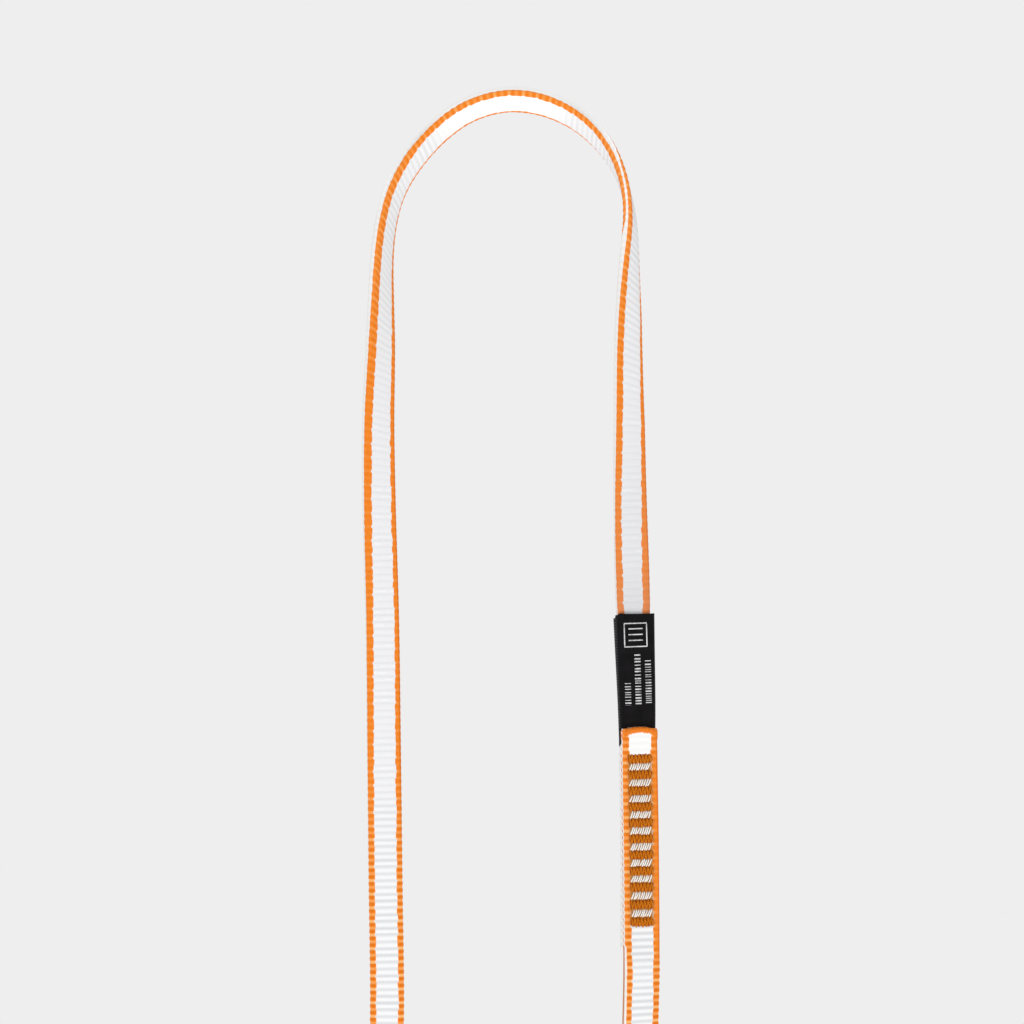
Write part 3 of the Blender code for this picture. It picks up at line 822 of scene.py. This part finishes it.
def make_whipping(name, end, below, lift, shift, side, reach_out, finish):
    """Threads laid side by side over a cut end, from one face round to the other. Below is 1 where the strip
    lies below its end, and side is 1 where the threads start on the front."""
    dice = np.random.default_rng(int(end))
    turn_from, turn_to = WHIPPING_TURN
    lines = []
    for w in np.linspace(-reach_out, reach_out, WHIPPING_THREADS):
        share = abs(w) / reach_out
        drop = 0.85 * share**2
        thick = SEWN_HALF * math.sqrt(1 - 0.8 * max(0, share - 0.85) / 0.15)
        reach = WHIPPING_REACH + dice.uniform(-0.12, 0.12) + 1.3 * share**5
        t = np.linspace(0, 1, 15)
        turn = np.clip((t - turn_from) / (turn_to - turn_from), 0, 1) * math.pi
        straight = np.where(t < turn_from, 1 - t / turn_from, np.where(t > turn_to, (t - turn_to) / (1 - turn_to), 0))
        depth = end + below * (drop + reach * straight - 0.30 * np.sin(turn))
        lip = 0.13 - 0.30 * straight**3
        n = lift + side * (thick + lip) * np.cos(turn)
        lines.append(place(depth, shift + w + 0 * t + dice.uniform(-0.03, 0.03), n))
    cap = threads(name, lines, WHIPPING_RADIUS, finish, sides=7)
    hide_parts(name)
    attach(cap, "upper_loop")


# ---------------------------------------------------------------- the sleeve

WALL = 0.42
CLEAR = 0.30
PLY = 0.24
SLEEVE_EDGE = 5.55
SLEEVE_CORNER = 1.25
SLEEVE_BULGE = 0.10
FLANGE = 5.95
FLANGE_ROOT = 5.3
FLANGE_FROM = 5.0
FLANGE_LOSS = (0.06, 0.78)
SEAM_LOOPS = 40
SEAM_THREAD = 0.11
SEAM_PROUD = 0.12
SEAM_LOOP = (0.30, 0.16)
PRINT_LINE = 0.34
PRINT_PROUD = 0.09
PRINT_THICK = 0.04
# The plain mark's left, right, top and bottom, and the depths of its bars below its top.
MARK = (3.7, -3.5, 153.6, 160.8)
MARK_BARS = (1.6, 3.3, 5.0)
MARK_INSET = 1.4
# The rows of dashes: the left side, top and bottom of each, then how wide they are.
DASH_ROWS = ((3.85, 171.3, 177.8), (0.7, 162.9, 177.8), (-2.5, 164.8, 177.8))
DASH_WIDE = 1.85
DASH_TALL = [0.20, 0.26, 0.42]
DASH_GAPS = [0.40, 0.50, 0.70]


def bulge(w):
    """How far the sleeve's front stands out at this distance across, more than at its sides."""
    return SLEEVE_BULGE * (1 - (w / 4) ** 2)


def sleeve_path():
    """(across, out) of the middle of the sleeve's wall, evenly spaced from the flange's front end round the
    tape to its back end, with the distance along it."""
    face = TAPE_THICK / 2 + CLEAR + WALL / 2
    bend = np.linspace(0, math.pi / 2, 9)
    rise = np.linspace(0, 1, 8)
    flange = [(FLANGE, PLY), ((FLANGE + FLANGE_ROOT) / 2, PLY)]
    slope = [(FLANGE_ROOT - 1.15 * t, PLY + (face - PLY) * (t * t * (3 - 2 * t))) for t in rise]
    flat = [(a, face + bulge(a)) for a in np.linspace(3.9, -4.1, 14)]
    centre = (SLEEVE_CORNER - SLEEVE_EDGE, face - SLEEVE_CORNER)
    turn = [(centre[0] - SLEEVE_CORNER * math.sin(b), centre[1] + SLEEVE_CORNER * math.cos(b)) for b in bend]
    half = np.array(flange + slope + flat + turn)
    whole = np.concatenate([half, half[::-1] * [1, -1]])
    run = np.concatenate([[0], np.cumsum(np.hypot(*np.diff(whole, axis=0).T))])
    even = np.linspace(0, run[-1], 96)
    return np.stack([np.interp(even, run, whole[:, k]) for k in (0, 1)], -1), even


def sleeve_edges(path, run):
    """The depth of the sleeve's top and bottom edge at each point of its path."""
    share = run / run[-1]
    ear = eased(path[:, 0], 4.5, 4.9)
    front = (1 - eased(share, 0.46, 0.56)) * (1 - ear)
    arch = 0.85 * (path[:, 0] / 5.2) ** 2
    flange = eased(path[:, 0], 5.0, 5.4)
    top = SLEEVE_TOP - 0.05 * path[:, 0] + 0.15 * np.sin(9 * share) + 1.0 * flange + (1 - front) * 0.5
    bottom = (SLEEVE_FRONT_END - 0.85 + arch) * front + (SLEEVE_BACK_END - 0.6 * np.sin(6 * share)) * (1 - front)
    return top, bottom


def flared(w, t):
    """The sleeve opens towards its top end, and its flange narrows to the bottom: t runs from 0 to 1."""
    wider = (1 - t) * eased(np.abs(w), 2.0, 5.2)
    narrower = flange_loss(t) * np.clip(w - FLANGE_FROM, 0, None) / (FLANGE - FLANGE_FROM)
    return w + np.where(w < 0, -0.55 * wider, 0.12 * wider) - narrower


def flange_loss(t):
    """How much less the flange stands out at t than where it is widest."""
    at_top, more = FLANGE_LOSS
    return at_top + more * t


def make_sleeve(finish):
    """The folded strip, a closed shell with a wall thickness, its plies cut at different lengths."""
    path, run = sleeve_path()
    top, bottom = sleeve_edges(path, run)
    step = np.gradient(path, axis=0)
    step /= np.linalg.norm(step, axis=1, keepdims=True)
    normal = np.stack([-step[:, 1], step[:, 0]], -1)
    rows = 46
    t = np.linspace(0, 1, rows)[:, None]
    depth = top[None] + (bottom - top)[None] * t
    on_face = 1 - eased(np.abs(path[:, 0]), 4.0, 5.0)[None]
    ripple = 0.05 * np.sin(0.9 * run[None] + 0.4 * depth) * np.sin(0.31 * depth + 1) * on_face
    skins = []
    for shift in (WALL / 2, -WALL / 2):
        w = path[None, :, 0] + normal[None, :, 0] * (shift + ripple)
        n = path[None, :, 1] + normal[None, :, 1] * (shift + ripple)
        skins.append(place(depth, flared(w, t), n))
    columns = len(run)
    points = np.concatenate([skin.reshape(-1, 3) for skin in skins])
    faces = grid_faces(rows, columns)
    count = rows * columns
    faces += [tuple(v + count for v in reversed(f)) for f in grid_faces(rows, columns)]
    rim = (
        [(0, j) for j in range(columns)]
        + [(i, columns - 1) for i in range(1, rows)]
        + [(rows - 1, j) for j in range(columns - 2, -1, -1)]
        + [(i, 0) for i in range(rows - 2, 0, -1)]
    )
    loop = [i * columns + j for i, j in rim]
    for a, b in zip(loop, loop[1:] + loop[:1]):
        faces.append((b, a, a + count, b + count))
    values = {
        "cloth_u": np.tile(np.broadcast_to(run[None], (rows, columns)).ravel(), 2),
        "cloth_v": np.tile(depth.ravel(), 2),
    }
    sleeve = mesh_object("sleeve_cloth", points, faces, finish, values)
    round_edges = sleeve.modifiers.new("edge", "BEVEL")
    round_edges.width = 0.10 * MM
    round_edges.segments = 2
    round_edges.angle_limit = math.radians(50)
    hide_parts("sleeve_body")
    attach(sleeve, "sleeve")


def make_seam(finish):
    """The overcast thread that closes the flange: round its edge and through both plies, again and again."""
    dice = np.random.default_rng(11)
    places = np.linspace(SLEEVE_TOP + 1.5, SLEEVE_FRONT_END - 0.8, SEAM_LOOPS)
    widest, narrowest = SEAM_LOOP
    pitch = places[1] - places[0]
    turn = np.linspace(0, 2 * math.pi, 13)[:-1]
    line = []
    for d in places:
        t = (d - SLEEVE_TOP) / (SLEEVE_FRONT_END - SLEEVE_TOP)
        half = widest - (widest - narrowest) * eased(t, 0, 0.5)
        w = FLANGE + SEAM_PROUD - flange_loss(t) - half + half * np.cos(turn)
        n = 0.58 * np.sin(turn)
        lean = pitch * (turn / (2 * math.pi)) + dice.uniform(-0.05, 0.05)
        line.append(np.stack([d + lean, w, n], -1))
    line = np.concatenate(line)
    seam = threads("seam_thread", [place(line[:, 0], line[:, 1], line[:, 2])], SEAM_THREAD, finish, sides=7)
    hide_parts("sleeve_seam_thread")
    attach(seam, "sleeve")


def on_sleeve(w, depth):
    """Points just proud of the sleeve's front, all at one depth."""
    face = TAPE_THICK / 2 + CLEAR + WALL + bulge(w) + PRINT_PROUD
    return place(np.full(len(w), depth), w, face)


def make_print(finish):
    """A plain mark and three rows of plain dashes, which stand for printing and spell nothing."""
    dice = np.random.default_rng(21)
    points, faces = [], []

    def bar(w0, w1, d0, d1):
        cuts = max(2, int(abs(w1 - w0) / 0.5) + 1)
        count = sum(len(p) for p in points)
        w = np.linspace(w0, w1, cuts)
        points.append(np.concatenate([on_sleeve(w, d0), on_sleeve(w, d1)]))
        for k in range(cuts - 1):
            faces.append((count + k, count + k + 1, count + cuts + k + 1, count + cuts + k))

    line = PRINT_LINE
    left, right, top, low = MARK
    bar(left, right, top, top + line)
    bar(left, right, low - line, low)
    bar(left, left - line, top, low)
    bar(right + line, right, top, low)
    for step in MARK_BARS:
        bar(left - MARK_INSET, right + MARK_INSET, top + step, top + step + line)
    for w, start, end in DASH_ROWS:
        depth = start
        while depth < end:
            tall = dice.choice(DASH_TALL)
            bar(w, w - DASH_WIDE, depth, min(depth + tall, end))
            depth += tall + dice.choice(DASH_GAPS)
    mark = mesh_object("sleeve_print", np.concatenate(points), faces, finish)
    thick = mark.modifiers.new("ink", "SOLIDIFY")
    thick.thickness = PRINT_THICK * MM
    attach(mark, "sleeve")


# ---------------------------------------------------------------- the stage


def make_camera():
    """A long lens in front of the sling, level with the middle of the picture."""
    camera = bpy.data.objects.new("camera", bpy.data.cameras.new("camera"))
    bpy.context.scene.collection.objects.link(camera)
    camera.data.sensor_width = SENSOR
    camera.data.lens = SENSOR * CAMERA_AWAY / PICTURE_TALL
    camera.data.clip_end = 50
    x, z = PICTURE_MIDDLE
    camera.location = (x, -CAMERA_AWAY, z)
    camera.rotation_euler = (math.pi / 2, 0, 0)
    bpy.context.scene.camera = camera


def make_light(name, location, target, size, power):
    """A round soft light that points at the target."""
    light = bpy.data.lights.new(name, "AREA")
    light.shape = "DISK"
    light.size = size
    light.energy = power
    obj = bpy.data.objects.new(name, light)
    bpy.context.scene.collection.objects.link(obj)
    obj.location = location
    obj.rotation_euler = (Vector(target) - Vector(location)).to_track_quat("-Z", "Y").to_euler()


def make_stage():
    """An even pale studio, and one soft light from below that lifts the undersides."""
    world = bpy.data.worlds.new("studio")
    bpy.context.scene.world = world
    world.use_nodes = True
    world.node_tree.nodes["Background"].inputs["Color"].default_value = BACKGROUND
    bpy.context.scene.view_settings.view_transform = "Standard"
    make_light("low", location=(0.0, -2.5, -2.9), target=(0, 0, -0.05), size=1.6, power=60)


# ---------------------------------------------------------------- all of it


def main():
    make_camera()
    make_tape(tape_material())
    # Each thread's second colour is its painted shade, between the plies and under other threads.
    orange = thread_material("tack_thread", (0.80, 0.255, 0.012), (0.34, 0.07, 0.001))
    bright = thread_material("whipping_thread", (0.88, 0.27, 0.03), (0.74, 0.17, 0.01), twist=1.6)
    white = thread_material("white_yarn", (0.98, 0.97, 0.94), (0.73, 0.69, 0.63), twist=1.4)
    dark = thread_material("seam_thread", (0.17, 0.175, 0.19), (0.02, 0.02, 0.022))
    for number in range(TACKS):
        make_tack(f"bar_tack_{number + 1:02d}_needle", number, FRONT_FACE, 1, orange)
        make_tack(f"bar_tack_{number + 1:02d}_bobbin", number, BACK_FACE, -1, orange)
    make_floats("floats_front", FRONT_FACE, 1, white)
    make_floats("floats_back", BACK_FACE, -1, white)
    make_whipping("end_whipping_front", FRONT_END, 1, FRONT_LIFT, FRONT_SHIFT, 1, FRONT_WHIPPING_HALF, bright)
    make_whipping("end_whipping_back", BACK_END, -1, 0.0, 0.0, -1, BACK_WHIPPING_HALF, bright)
    make_sleeve(sleeve_material())
    make_seam(dark)
    make_print(print_material())
    make_stage()


main()
